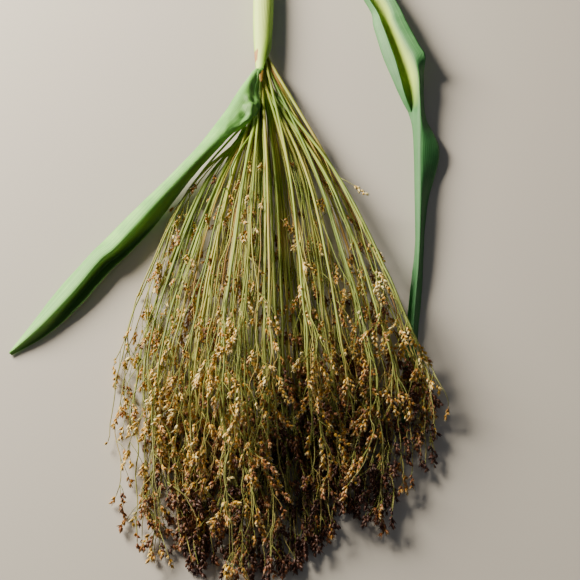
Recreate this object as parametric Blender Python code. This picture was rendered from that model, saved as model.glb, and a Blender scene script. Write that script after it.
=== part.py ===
"""A cut broomcorn sorghum head with its stalk and two top leaves, lying on a surface. Metres, +Z up.

The plant is laid out from the collar of its top leaf, where the head leaves the sheath: +Y runs up the
stalk to its cut end, and -Y to the tips of the branches. The whole plant is then moved so that the
origin is at the centre of the base of its bounding box.
"""

import math
import random

import bmesh
import bpy
from mathutils import Matrix, Vector

MM = 0.001
SEED = 7
GAP = 0.3 * MM

# The stalk runs from its cut end, through a swollen node, to where the head begins inside the sheath.
STALK_END = 340 * MM
STALK_TOP = 40 * MM
STALK_HEIGHT = 6.5 * MM
STALK_RISE = 2.3 * MM
STALK_SIDES = 20
NODE_AT = 241 * MM
STALK_PROFILE = (
    (STALK_END, 5.0),
    (NODE_AT + 20 * MM, 5.0),
    (NODE_AT + 8 * MM, 5.3),
    (NODE_AT + 5 * MM, 7.0),
    (NODE_AT - 5 * MM, 7.0),
    (NODE_AT - 8 * MM, 5.0),
    (150 * MM, 4.6),
    (STALK_TOP, 3.7),
)

# The head's own axis, which the branches grow from.
AXIS_PROFILE = ((STALK_TOP - GAP, 3.4), (10 * MM, 3.2), (-20 * MM, 2.8), (-62 * MM, 1.4))
AXIS_HEIGHT = 8.8 * MM
AXIS_HIGHEST = 10.5 * MM
AXIS_SIDES = 8

GRAINS_PER_SPRAY = 5
GRAIN_LENGTH = 5.6 * MM
GRAIN_STEP = 6.6 * MM
GRAIN_RADIUS = 1.75 * MM
GRAIN_OFFSET = 1.3 * MM
NECK_RADIUS = 0.42 * MM
BRANCH_ROOT_RADIUS = 1.3 * MM
BRANCH_TIP_RADIUS = 0.45 * MM
BRANCH_RINGS = 8
BARE_SHARE = 0.86
ROOT_SINK = 1.2 * MM
LOWEST_BRANCH = 2.2 * MM
LOWEST_SKIN = 0.15 * MM

LEAF_THICKNESS = 0.8 * MM
LEAF_LOWEST = 0.55 * MM
LEAF_COLUMNS = 10
RINGS_PER_STATION = 2

# Each tuft is a group of branches that lie together. Its numbers are in millimetres from the collar:
# how far aside its branches are at the shoulder of the head, where they pass the middle of the head,
# where the longest ends, how high the topmost is lifted off the surface, and the count of branches.
TUFTS = (
    (-56, (-91, -232), (-101, -372), 7, 2),
    (-48, (-84, -256), (-78, -412), 16, 3),
    (-34, (-62, -266), (-55, -418), 27, 4),
    (-24, (-43, -271), (-36, -422), 36, 4),
    (-13, (-24, -276), (-16, -429), 44, 5),
    (-4, (-7, -279), (2, -431), 50, 5),
    (6, (10, -279), (18, -427), 50, 5),
    (16, (26, -277), (32, -416), 46, 4),
    (27, (41, -275), (46, -403), 42, 4),
    (37, (56, -272), (60, -366), 36, 3),
    (47, (77, -266), (85, -403), 30, 3),
    (57, (93, -260), (102, -384), 25, 3),
    (67, (112, -247), (130, -330), 24, 3),
)
SHOULDER_AT = -120 * MM
# How far branches spread from the middle of their tuft, and how low the lowest lie, in millimetres.
SHOULDER_SPREAD = 3
BELLY_SPREAD = 7
TIP_SPREAD = 10
LOWEST_BELLY = 4
LOWEST_TIP = 3.5
# A tip keeps this share of its tuft's lift. The outer half of a branch is shortened by up to the next share,
# and by the last one as well on top of the tuft.
TIP_LIFT = 0.35
SHORTENED = 0.12
SHORTENED_ON_TOP = 0.25
# The height of the shoulder, as shares of the heights of the axis and of the middle of the head.
SHOULDER_FROM_AXIS = 0.5
SHOULDER_FROM_BELLY = 0.52
ROOT_FACES_ASIDE = 0.35
# Where a branch droops between the middle of the head and its tip, and how far it bows aside and down.
DROOP_AT = 0.55
DROOP_ASIDE = 0.05
DROOP_DOWN = 0.04
BRANCH_POINTS = 17
# Only branches to the right of this leave the axis inside the sheath, which is closed on its left.
LEFTMOST_IN_SHEATH = -8
FARTHEST_ROOT = -56
ROOT_IN_SHEATH = 8
ROOT_PAST_SHEATH = -14
# Branches to the right of this leave the axis higher up, where the sheath is open on its right.
RIGHT_TUFTS_FROM = 10
RIGHT_ROOTS = (-14, 30)
# Branches to the left of this stay low, under the blade of the top leaf.
RIGHTMOST_UNDER_BLADE = -30
UNDER_BLADE = 9.5 * MM

# The end of the lower leaf, which branches pass over: where it begins, a place on its middle line, the slant
# of that line, half its width, and how high, rising and crowned the way over it is.
LEAF_END_FROM = -120 * MM
LEAF_END_X = 124 * MM
LEAF_END_Y = -181 * MM
LEAF_END_SLANT = 0.125
LEAF_END_HALF_WIDTH = 20 * MM
LEAF_END_HEIGHT = 12 * MM
LEAF_END_RISE = 0.03
LEAF_END_CROWN = 2 * MM

# Branchlets: where along its branch one starts, how far it turns aside, its bare length, how soon its line
# bends to lie along the branch, and how much it sags.
SPRAY_AT = (0.42, 0.78)
SPRAY_TURN = (0.5, 0.8)
SPRAY_BARE = (7, 13)
LINE_BEND = 0.4
LINE_SAG = 0.06

# Sheath rings: place along the stalk, height of the centre, half width, half height, and the angles
# round the stalk at which the left and the right edge of the leaf lie.
FLAG_SHEATH = (
    (229, 7.0, 6.3, 6.3, 276, -66),
    (190, 7.2, 6.7, 6.5, 276, -66),
    (150, 7.6, 7.8, 6.9, 275, -65),
    (110, 8.0, 9.2, 7.4, 271, -61),
    (70, 8.4, 8.9, 7.4, 255, -45),
    (46, 8.8, 8.1, 7.0, 236, -22),
    (32, 9.0, 7.3, 6.8, 222, 8),
    (18, 9.3, 6.3, 6.5, 208, 45),
    (6, 9.6, 5.6, 6.4, 192, 72),
)
# Blade stations: five points across the leaf, from its left edge to its right edge.
FLAG_BLADE = (
    ((-10, -1, 12), (-8.5, -1.5, 17), (-5.5, -3, 21), (-3, -6.5, 21), (-2, -9, 19)),
    ((-19, -19, 15.5), (-15.5, -23.5, 22), (-10.5, -31, 25), (-6, -33.5, 24.5), (-4, -31.5, 21)),
    ((-30.5, -42, 14.5), (-27, -46.5, 20.5), (-21, -53, 24), (-15.5, -58, 23.5), (-14, -59, 19.5)),
    ((-45.5, -67.5, 12), (-42, -71.5, 18), (-36.5, -77.5, 22), (-32.5, -79.5, 20.5), (-32, -80.5, 17.5)),
    ((-62, -89.5, 9), (-59.5, -93.5, 15.5), (-54, -99.5, 19.5), (-50, -101, 17.5), (-49.5, -102, 13)),
    ((-82.5, -115, 6), (-79.5, -119, 13), (-74, -126, 17), (-69.5, -128, 13), (-69, -128, 6)),
    ((-105.5, -142, 3.5), (-101.5, -146, 11), (-94, -155.5, 15), (-91, -157, 5), (-87, -158, 5)),
    ((-124.5, -166.5, 2.5), (-120, -171.5, 10), (-112, -180.5, 14), (-112, -180, 2.5), (-105, -182, 5.5)),
    ((-134, -178, 2), (-131, -182, 9), (-123, -191, 12.5), (-123, -191, 2), (-115, -195, 6)),
    ((-153, -207, 1.8), (-150, -211, 7), (-142.5, -220, 10.5), (-142, -220, 2), (-134.5, -224, 5)),
    ((-171, -238, 1.4), (-169, -240, 4.5), (-165, -247, 7.5), (-161.5, -248, 2.5), (-158.5, -250, 2.5)),
    ((-186.5, -265, 1.2), (-186.3, -265.6, 1.8), (-186, -266.5, 2.4), (-185, -267, 1.6), (-184.5, -267.5, 1.2)),
)
LOWER_SHEATH = (
    (338, 7.2, 6.7, 6.7, 219, -123),
    (312, 7.2, 6.7, 6.7, 219, -123),
    (286, 7.2, 6.9, 6.8, 213, -117),
    (266, 7.3, 7.3, 7.2, 166, -70),
    (254, 7.6, 8.2, 8.2, 120, -24),
)
LOWER_BLADE = (
    ((10, 222, 22), (13, 224, 17.5), (19, 228, 15), (24, 233, 16), (27, 236, 18)),
    ((40, 184, 21), (41, 184, 14), (50, 190, 10), (57, 195, 15.5), (60, 197, 19)),
    ((73, 137, 18), (70, 138, 11), (80, 141, 8), (88, 147, 14), (94, 145, 17)),
    ((101, 79, 16), (97, 84, 9), (107, 87.5, 7), (113, 89, 13.5), (120.5, 88.5, 15.5)),
    ((108, 55, 16.5), (100.5, 60, 9), (112, 62.5, 7.5), (119.5, 58.5, 15), (130.5, 57, 16.5)),
    ((114.5, 26.5, 16), (106, 32, 8), (119.5, 32, 7), (127.5, 32, 16), (139.5, 29.5, 17.5)),
    ((117.5, 13.5, 15), (109.5, 17.5, 7), (123, 18, 6.5), (132.5, 18, 16.5), (143.5, 17, 17.5)),
    ((120.5, -3, 13), (114.5, 1, 6), (127, 1.5, 5), (136, -2.5, 16.5), (142, 2.5, 8)),
    ((125, -23.5, 9), (122, -21.5, 3.5), (130.5, -22, 3.5), (136, -26.5, 14), (141, -20.5, 4)),
    ((131.5, -43.5, 1.8), (129, -43, 1.8), (130.5, -45, 5.5), (135.5, -49.5, 12.5), (141.5, -45, 5)),
    ((132, -76.5, 1.5), (129.5, -77.5, 1.5), (129.5, -79, 6), (134.5, -81, 11.5), (150, -80.5, 6.5)),
    ((129.5, -125.5, 1.4), (127.2, -126.5, 1.4), (127, -127, 6), (131, -129, 10.5), (137.5, -127.5, 1.4)),
    ((123.4, -178, 1.2), (123.8, -178, 3), (124.2, -178.5, 5), (126.5, -180, 9), (130.5, -178, 1.2)),
    ((116.5, -220.5, 2.5), (118, -220.5, 1.6), (119.7, -220.5, 1.6), (121, -221, 7), (125.5, -221, 1.2)),
    ((111, -264, 2), (112.5, -264, 1.6), (114, -264.5, 2.5), (115.5, -265, 5.5), (119.5, -264, 1.2)),
    ((106, -304, 1.2), (107.5, -304.5, 2.5), (109, -305, 3.8), (111, -304.5, 2.8), (113, -304, 1.2)),
    ((104.6, -336, 1.2), (104.8, -336.5, 1.8), (105, -337, 2.2), (105.5, -336.5, 1.8), (106, -336, 1.2)),
)


def clear_scene():
    for obj in list(bpy.data.objects):
        bpy.data.objects.remove(obj)


def plant_material(name, colour, roughness):
    """A matt or glossy plant surface, with a linear base colour."""
    material = bpy.data.materials.new(name)
    material.use_nodes = True
    shader = material.node_tree.nodes["Principled BSDF"]
    shader.inputs["Base Color"].default_value = (*colour, 1)
    shader.inputs["Roughness"].default_value = roughness
    shader.inputs["Metallic"].default_value = 0
    return material


def new_object(name, bm, material=None):
    mesh = bpy.data.meshes.new(name)
    bm.to_mesh(mesh)
    bm.free()
    obj = bpy.data.objects.new(name, mesh)
    if material:
        mesh.materials.append(material)
    bpy.context.scene.collection.objects.link(obj)
    return obj


def smooth_path(points, count):
    """Count points, evenly spread over the knots, on the Catmull-Rom curve through the given points."""
    knots = [points[0] * 2 - points[1], *points, points[-1] * 2 - points[-2]]
    path = []
    for index in range(count):
        place = index / (count - 1) * (len(points) - 1)
        span = min(int(place), len(points) - 2)
        t = place - span
        a, b, c, d = knots[span : span + 4]
        path.append(
            0.5 * (2 * b + (c - a) * t + (2 * a - 5 * b + 4 * c - d) * t**2 + (3 * b - a - 3 * c + d) * t**3)
        )
    return path


def ring_matrix(path, index):
    """Turns a circle in XY so that it faces along the path. Every path here runs roughly towards -Y."""
    ahead = path[min(index + 1, len(path) - 1)] - path[max(index - 1, 0)]
    turn = Vector((0, -1, 0)).rotation_difference(ahead.normalized())
    return Matrix.Translation(path[index]) @ turn.to_matrix().to_4x4() @ Matrix.Rotation(math.pi / 2, 4, "X")


def tube_mesh(path, radii, sides, roll=0.0):
    """A closed tube along the path, with a radius for each of its points."""
    bm = bmesh.new()
    previous = None
    for index, radius in enumerate(radii):
        matrix = ring_matrix(path, index) @ Matrix.Rotation(roll, 4, "Z")
        ends = index in (0, len(radii) - 1)
        made = bmesh.ops.create_circle(bm, cap_ends=ends, segments=sides, radius=radius, matrix=matrix)
        edges = list({edge for vert in made["verts"] for edge in vert.link_edges})
        if previous:
            bmesh.ops.bridge_loops(bm, edges=previous + edges)
        previous = edges
    bmesh.ops.recalc_face_normals(bm, faces=bm.faces)
    return bm


def sheath_section(ring):
    """Points across a leaf where it wraps the stalk, from its left edge to its right edge."""
    along, height, half_width, half_height, left, right = ring
    points = []
    for index in range(LEAF_COLUMNS + 1):
        angle = math.radians(left + (right - left) * index / LEAF_COLUMNS)
        points.append(Vector((half_width * math.cos(angle), along, height + half_height * math.sin(angle))))
    return points


def leaf(name, sheath, blade, material):
    """One leaf as a sheet with two alike faces: a sheath round the stalk that opens into a folded blade."""
    sections = [sheath_section(ring) for ring in sheath]
    sections += [smooth_path([Vector(point) for point in station], LEAF_COLUMNS + 1) for station in blade]
    rows = (len(sections) - 1) * RINGS_PER_STATION + 1
    tracks = [smooth_path(list(track), rows) for track in zip(*sections)]
    bm = bmesh.new()
    made = bmesh.ops.create_grid(bm, x_segments=LEAF_COLUMNS, y_segments=rows - 1, size=1)
    for vert in made["verts"]:
        column = round((vert.co.x + 1) / 2 * LEAF_COLUMNS)
        row = round((vert.co.y + 1) / 2 * (rows - 1))
        vert.co = tracks[column][row] * MM
        vert.co.z = max(vert.co.z, LEAF_LOWEST)
    bmesh.ops.triangulate(bm, faces=bm.faces, quad_method="FIXED")
    obj = new_object(name, bm, material)
    thickness = obj.modifiers.new("thickness", "SOLIDIFY")
    thickness.thickness = LEAF_THICKNESS
    thickness.offset = 0
    obj.data.shade_smooth()
    return obj


def stalk(material):
    """The culm from its cut end to where the head begins, swollen at its node, with a flat on its underside."""
    path = []
    for along, _ in STALK_PROFILE:
        rise = STALK_RISE * max(0, (NODE_AT - along) / (NODE_AT - STALK_TOP))
        path.append(Vector((0, along, STALK_HEIGHT + rise)))
    bm = tube_mesh(path, [radius * MM for _, radius in STALK_PROFILE], STALK_SIDES)
    cut = bmesh.ops.bisect_plane(
        bm, geom=[*bm.verts, *bm.edges, *bm.faces], plane_co=(0, 0, 0), plane_no=(0, 0, -1), clear_outer=True
    )
    rim = [edge for edge in cut["geom_cut"] if isinstance(edge, bmesh.types.BMEdge)]
    bmesh.ops.contextual_create(bm, geom=rim)
    bmesh.ops.recalc_face_normals(bm, faces=bm.faces)
    return new_object("stalk", bm, material)


def axis_point(along):
    """A point of the head's axis, which rises a little as it leaves the stalk."""
    rise = 1.5 * MM * (STALK_TOP - along) / STALK_TOP
    return Vector((0, along, min(AXIS_HEIGHT + rise, AXIS_HIGHEST)))


def over_lower_leaf(point):
    """How high a branch has to be at that place to pass over the end of the lower leaf."""
    if point.y > LEAF_END_FROM:
        return 0
    beyond = point.y - LEAF_END_Y
    aside = abs(point.x - LEAF_END_X - beyond * LEAF_END_SLANT) / LEAF_END_HALF_WIDTH
    return LEAF_END_HEIGHT + beyond * LEAF_END_RISE + (1 - aside) * LEAF_END_CROWN if aside < 1 else 0


def branch_path(tuft, layer, draw):
    """The centre line of one long branch. Layer runs from 0, on the surface, to 1, on top."""
    shoulder_x, (belly_x, belly_y), (tip_x, tip_y), lift, _ = tuft
    aside = draw.uniform(-1, 1)
    belly = Vector((belly_x + BELLY_SPREAD * aside, belly_y, LOWEST_BELLY + layer * lift)) * MM
    tip = Vector((tip_x + TIP_SPREAD * aside, tip_y, LOWEST_TIP + lift * TIP_LIFT * layer**2)) * MM
    tip.y = belly.y + (tip.y - belly.y) * (1 - (SHORTENED + SHORTENED_ON_TOP * layer) * draw.random())
    roots = (FARTHEST_ROOT, ROOT_IN_SHEATH if shoulder_x > LEFTMOST_IN_SHEATH else ROOT_PAST_SHEATH)
    if shoulder_x > RIGHT_TUFTS_FROM:
        roots = RIGHT_ROOTS
    axis = axis_point(draw.uniform(*roots) * MM)
    shoulder_z = axis.z * SHOULDER_FROM_AXIS + belly.z * SHOULDER_FROM_BELLY
    shoulder = Vector(((shoulder_x + SHOULDER_SPREAD * aside) * MM, SHOULDER_AT, shoulder_z))
    if shoulder_x < RIGHTMOST_UNDER_BLADE:
        shoulder.z = min(shoulder.z, UNDER_BLADE)
    outwards = Vector((shoulder.x * ROOT_FACES_ASIDE, 0, shoulder.z - axis.z)).normalized()
    root = axis + outwards * ROOT_SINK
    droop = belly.lerp(tip, DROOP_AT) + Vector((belly.x * DROOP_ASIDE, 0, -DROOP_DOWN * belly.z))
    path = smooth_path([root, shoulder, belly, droop, tip], BRANCH_POINTS)
    for point in path:
        point.z = max(point.z, over_lower_leaf(point), LOWEST_BRANCH)
    return path


def branch_paths():
    """The centre lines of all the long branches, tuft by tuft."""
    draw = random.Random(SEED)
    paths = []
    for tuft in TUFTS:
        count = tuft[-1]
        for number in range(count):
            layer = (number + draw.uniform(0.2, 0.8)) / count
            paths.append(branch_path(tuft, layer, draw))
    return paths


def at(path, share):
    """The point at that share of a path's points, and the direction there."""
    place = share * (len(path) - 1)
    index = min(int(place), len(path) - 2)
    step = path[index + 1] - path[index]
    return path[index] + step * (place - index), step.normalized()


def grain_chain(start, direction, ahead, grains, draw):
    """Points and radii of grains set alternately to each side of a line that bends to lie ahead."""
    across = direction.cross(Vector((0, draw.uniform(-1, 1), 1))).normalized()
    line = []
    radii = []
    centre = start
    for number in range(grains):
        direction = (direction + ahead * LINE_BEND + Vector((0, 0, -LINE_SAG))).normalized()
        hand = -1 if number % 2 else 1
        line.append(centre + direction * GRAIN_LENGTH / 2 + across * hand * GRAIN_OFFSET)
        radii.append(GRAIN_RADIUS * draw.uniform(0.85, 1.1))
        centre = centre + direction * GRAIN_STEP
        line.append(centre)
        radii.append(NECK_RADIUS)
    radii[-1] = NECK_RADIUS / 2
    return line, radii


def strung_tube(line, radii, draw):
    """A three-sided tube that is kept off the surface and off the end of the lower leaf."""
    for point, radius in zip(line, radii):
        point.z = max(point.z, over_lower_leaf(point), radius + LOWEST_SKIN)
    return tube_mesh(line, radii, 3, draw.uniform(0, 2))


def branch_mesh(path, draw):
    """A long branch whose outer end is strung with grains."""
    bare = [at(path, BARE_SHARE * index / (BRANCH_RINGS - 1))[0] for index in range(BRANCH_RINGS)]
    radii = []
    for index in range(BRANCH_RINGS):
        share = index / (BRANCH_RINGS - 1)
        radii.append(BRANCH_ROOT_RADIUS + (BRANCH_TIP_RADIUS - BRANCH_ROOT_RADIUS) * share**0.7)
    ahead = (path[-1] - bare[-1]).normalized()
    grains = round((path[-1] - bare[-1]).length / GRAIN_STEP)
    line, grain_radii = grain_chain(bare[-1], ahead, ahead, grains, draw)
    return strung_tube(bare + line, radii + grain_radii, draw)


def spray_mesh(path, share, grains, draw):
    """A branchlet that leaves the branch to one side and then runs along it with its grains."""
    root, ahead = at(path, share)
    side = Vector((draw.choice((-1, 1)), 0, draw.uniform(-0.5, 0.5))).normalized()
    direction = (ahead + side * draw.uniform(*SPRAY_TURN)).normalized()
    outer = root + direction * draw.uniform(*SPRAY_BARE) * MM
    line, radii = grain_chain(outer, direction, ahead, grains, draw)
    return strung_tube([root, outer] + line, [NECK_RADIUS * 1.4, NECK_RADIUS] + radii, draw)


def keep_largest_shell(mesh):
    """Drops the tiny hollows that are sealed where crowded branches meet."""
    bm = bmesh.new()
    bm.from_mesh(mesh)
    shells = []
    left = set(bm.faces)
    while left:
        shell = set()
        edge_of_shell = {left.pop()}
        while edge_of_shell:
            shell |= edge_of_shell
            edge_of_shell = {
                near for face in edge_of_shell for edge in face.edges for near in edge.link_faces
            } - shell
        left -= shell
        shells.append(shell)
    shells.sort(key=len)
    bmesh.ops.delete(bm, geom=[face for shell in shells[:-1] for face in shell], context="FACES")
    bm.to_mesh(mesh)
    bm.free()


def fused(name, base, shapes, material):
    """Joins the shapes to the base in one closed body."""
    helpers = bpy.data.collections.new(name + "_shapes")
    bpy.context.scene.collection.children.link(helpers)
    for number, bm in enumerate(shapes):
        helper = new_object(f"{name}_shape_{number}", bm)
        bpy.context.scene.collection.objects.unlink(helper)
        helpers.objects.link(helper)
    union = base.modifiers.new("union", "BOOLEAN")
    union.operation = "UNION"
    union.operand_type = "COLLECTION"
    union.collection = helpers
    union.solver = "MANIFOLD"
    graph = bpy.context.evaluated_depsgraph_get()
    joined = bpy.data.meshes.new_from_object(base.evaluated_get(graph))
    keep_largest_shell(joined)
    base.modifiers.clear()
    base.data = joined
    base.name = name
    joined.materials.clear()
    joined.materials.append(material)
    for helper in list(helpers.objects):
        bpy.data.objects.remove(helper)
    bpy.data.collections.remove(helpers)
    return base


def head(material):
    """The short axis of the head, its long branches and their grain-bearing branchlets, grown as one."""
    draw = random.Random(SEED)
    path = [axis_point(along) for along, _ in AXIS_PROFILE]
    axis = new_object("axis", tube_mesh(path, [radius * MM for _, radius in AXIS_PROFILE], AXIS_SIDES))
    shapes = []
    for branch in branch_paths():
        shapes.append(branch_mesh(branch, draw))
        shapes.append(spray_mesh(branch, draw.uniform(*SPRAY_AT), GRAINS_PER_SPRAY, draw))
    return fused("head", axis, shapes, material)


def stand_on_origin(nodes):
    """Moves the plant so that the origin is at the centre of the base of its bounding box."""
    plant = bpy.data.objects.new("plant", None)
    bpy.context.scene.collection.objects.link(plant)
    bpy.context.view_layer.update()
    graph = bpy.context.evaluated_depsgraph_get()
    corners = [Vector(corner) for node in nodes for corner in node.evaluated_get(graph).bound_box]
    low = Vector([min(corner[axis] for corner in corners) for axis in range(3)])
    high = Vector([max(corner[axis] for corner in corners) for axis in range(3)])
    plant.location = (-(low.x + high.x) / 2, -(low.y + high.y) / 2, -low.z)
    for node in nodes:
        node.parent = plant


def main():
    clear_scene()
    leaf_green = plant_material("sorghum leaf, fresh, waxy", (0.24, 0.42, 0.23), 0.55)
    culm_green = plant_material("sorghum culm, pale green", (0.52, 0.60, 0.30), 0.45)
    straw = plant_material("broomcorn branches and husked grains", (0.46, 0.30, 0.10), 0.5)
    nodes = [
        stalk(culm_green),
        leaf("flag_leaf", FLAG_SHEATH, FLAG_BLADE, leaf_green),
        leaf("lower_leaf", LOWER_SHEATH, LOWER_BLADE, leaf_green),
        head(straw),
    ]
    stand_on_origin(nodes)


main()
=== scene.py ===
"""A cut broomcorn head on its leafy stalk, lying on a pale floor.

Places are worked out from the collar of the top leaf, where the head leaves its sheath: +Y runs up the
stalk to its cut end, -Y to the tips of the branches. COLLAR moves them to the frame of the solids.
"""

import math
import random

import bmesh
import bpy
from mathutils import Euler, Matrix, Vector, noise


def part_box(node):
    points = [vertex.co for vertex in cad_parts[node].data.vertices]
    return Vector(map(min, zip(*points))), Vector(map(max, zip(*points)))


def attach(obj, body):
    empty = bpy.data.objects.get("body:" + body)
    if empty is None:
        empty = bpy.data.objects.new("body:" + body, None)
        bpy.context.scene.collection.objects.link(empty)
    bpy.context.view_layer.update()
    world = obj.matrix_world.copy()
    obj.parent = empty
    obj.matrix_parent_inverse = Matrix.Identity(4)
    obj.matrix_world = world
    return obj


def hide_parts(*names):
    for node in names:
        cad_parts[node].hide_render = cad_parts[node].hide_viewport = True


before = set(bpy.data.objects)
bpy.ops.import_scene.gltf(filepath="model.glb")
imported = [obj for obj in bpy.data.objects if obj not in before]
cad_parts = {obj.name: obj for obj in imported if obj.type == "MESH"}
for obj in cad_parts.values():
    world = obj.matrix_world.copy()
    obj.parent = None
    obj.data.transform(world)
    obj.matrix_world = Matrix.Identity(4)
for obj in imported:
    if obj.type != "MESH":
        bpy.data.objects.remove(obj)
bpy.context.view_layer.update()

MM = 0.001
SEED = 7

STALK_END = 340 * MM
STALK_TOP = 40 * MM
STALK_HEIGHT = 6.5 * MM
STALK_RISE = 2.3 * MM
NODE_AT = 241 * MM
# Place along the culm and its radius in millimetres, with the soft swelling of the node.
CULM_PROFILE = (
    (STALK_END, 4.9),
    (STALK_END - 1.5 * MM, 5.05),
    (NODE_AT + 40 * MM, 5.0),
    (NODE_AT + 16 * MM, 5.0),
    (NODE_AT + 9 * MM, 5.4),
    (NODE_AT + 5.5 * MM, 6.7),
    (NODE_AT + 3 * MM, 7.0),
    (NODE_AT, 6.6),
    (NODE_AT - 3 * MM, 7.0),
    (NODE_AT - 5.5 * MM, 6.5),
    (NODE_AT - 8 * MM, 5.1),
    (190 * MM, 4.8),
    (150 * MM, 4.6),
    (STALK_TOP, 3.7),
)
CULM_RINGS = 90
CULM_SIDES = 40
NODE_TONE = 0.8
NODE_TONE_OVER = 9 * MM
RIND_THICKNESS = 0.5 * MM
PITH_SUNK = 0.15 * MM
# Edges that turn by more degrees than this stay sharp.
SHARPER_THAN = 50

# The long branches, as in the solids: how far aside they are at the shoulder, where they pass the middle
# of the head, where the longest ends, how high the topmost is lifted, and how many lie together.
TUFTS = (
    (-56, (-91, -232), (-101, -372), 7, 2),
    (-48, (-84, -256), (-78, -412), 16, 3),
    (-34, (-62, -266), (-55, -418), 27, 4),
    (-24, (-43, -271), (-36, -422), 36, 4),
    (-13, (-24, -276), (-16, -429), 44, 5),
    (-4, (-7, -279), (2, -431), 50, 5),
    (6, (10, -279), (18, -427), 50, 5),
    (16, (26, -277), (32, -416), 46, 4),
    (27, (41, -275), (46, -403), 42, 4),
    (37, (56, -272), (60, -366), 36, 3),
    (47, (77, -266), (85, -403), 30, 3),
    (57, (93, -260), (102, -384), 25, 3),
    (67, (112, -247), (130, -330), 24, 3),
)
# The part of its own layer in a tuft that a branch may lie in.
WITHIN_LAYER = (0.2, 0.8)
# The finer branches between two tufts, and the highest layer that they lie in.
LOW_BRANCHES = 4
HIGHEST_LOW = 0.35
# The tuft whose branches lie low, in the hollow between the two groups, and how low.
SUNKEN_TUFT = 7
SUNKEN = 0.35
HOLLOW_AT = 26 * MM
HOLLOW_WIDTH = 24 * MM
SHOULDER_AT = -120 * MM
# How far branches spread from the middle of their tuft, and how low the lowest lie, in millimetres.
SHOULDER_SPREAD = 3
BELLY_SPREAD = 7
TIP_SPREAD = 10
LOWEST_BELLY = 4
LOWEST_TIP = 3.5
# A tip keeps this share of its tuft's lift. The outer half of a branch is shortened by up to the next share,
# and by the last one as well on top of the tuft.
TIP_LIFT = 0.35
SHORTENED = 0.12
SHORTENED_ON_TOP = 0.25
# The height of the shoulder, as shares of the heights of the axis and of the middle of the head.
SHOULDER_FROM_AXIS = 0.5
SHOULDER_FROM_BELLY = 0.52
ROOT_FACES_ASIDE = 0.35
# Where a branch droops between the middle of the head and its tip, and how far it bows aside and down.
DROOP_AT = 0.55
DROOP_ASIDE = 0.05
DROOP_DOWN = 0.04
BRANCH_POINTS = 41
# Only branches to the right of this leave the axis inside the sheath, which is closed on its left.
LEFTMOST_IN_SHEATH = -8
FARTHEST_ROOT = -56
ROOT_IN_SHEATH = 8
ROOT_PAST_SHEATH = -14
# Branches to the right of this leave the axis higher up, where the sheath is open on its right.
RIGHT_TUFTS_FROM = 10
RIGHT_ROOTS = (-14, 30)
# Branches to the left of this stay low, under the blade of the top leaf, and so do all stems in its reach.
RIGHTMOST_UNDER_BLADE = -30
UNDER_BLADE = 9.5 * MM
BLADE_REACHES_X = -25 * MM
BLADE_REACHES_Y = (-128 * MM, -40 * MM)
# The axis of the head: how far past the stalk it starts, points along it, how it tapers, its sides and tone,
# and its height.
PAST_STALK = 0.3 * MM
AXIS_POINTS = (STALK_TOP - PAST_STALK, 20 * MM, 0, -20 * MM, -40 * MM, -62 * MM)
AXIS_TAPER = (3.4 * MM, 1.2 * MM, 1.5)
AXIS_SIDES = 16
AXIS_TONE = 0.3
AXIS_HEIGHT = 8.8 * MM
AXIS_RISE = 1.5 * MM
AXIS_HIGHEST = 10.5 * MM
ROOT_SINK = 1.2 * MM
LOWEST_BRANCH = 2.2 * MM
HIGHEST_STEM = 50 * MM

# The end of the lower leaf, which branches pass over: where it begins, a place on its middle line, the slant
# of that line, half its width, and how high, rising and crowned the way over it is.
LEAF_END_FROM = -120 * MM
LEAF_END_X = 124 * MM
LEAF_END_Y = -181 * MM
LEAF_END_SLANT = 0.125
LEAF_END_HALF_WIDTH = 20 * MM
LEAF_END_HEIGHT = 12 * MM
LEAF_END_RISE = 0.03
LEAF_END_CROWN = 2 * MM

# Sheath rings: place along the stalk, height of the centre, half width, half height, and the angles
# round the stalk at which the left and the right edge of the leaf lie.
FLAG_SHEATH = (
    (229, 7.0, 6.3, 6.3, 276, -66),
    (190, 7.2, 6.7, 6.5, 276, -66),
    (150, 7.6, 7.8, 6.9, 275, -65),
    (110, 8.0, 9.2, 7.4, 271, -61),
    (70, 8.4, 8.9, 7.4, 255, -45),
    (46, 8.8, 8.1, 7.0, 236, -22),
    (32, 9.0, 7.3, 6.8, 222, 8),
    (18, 9.3, 6.3, 6.5, 208, 45),
    (6, 9.6, 5.6, 6.4, 192, 72),
)
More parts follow.
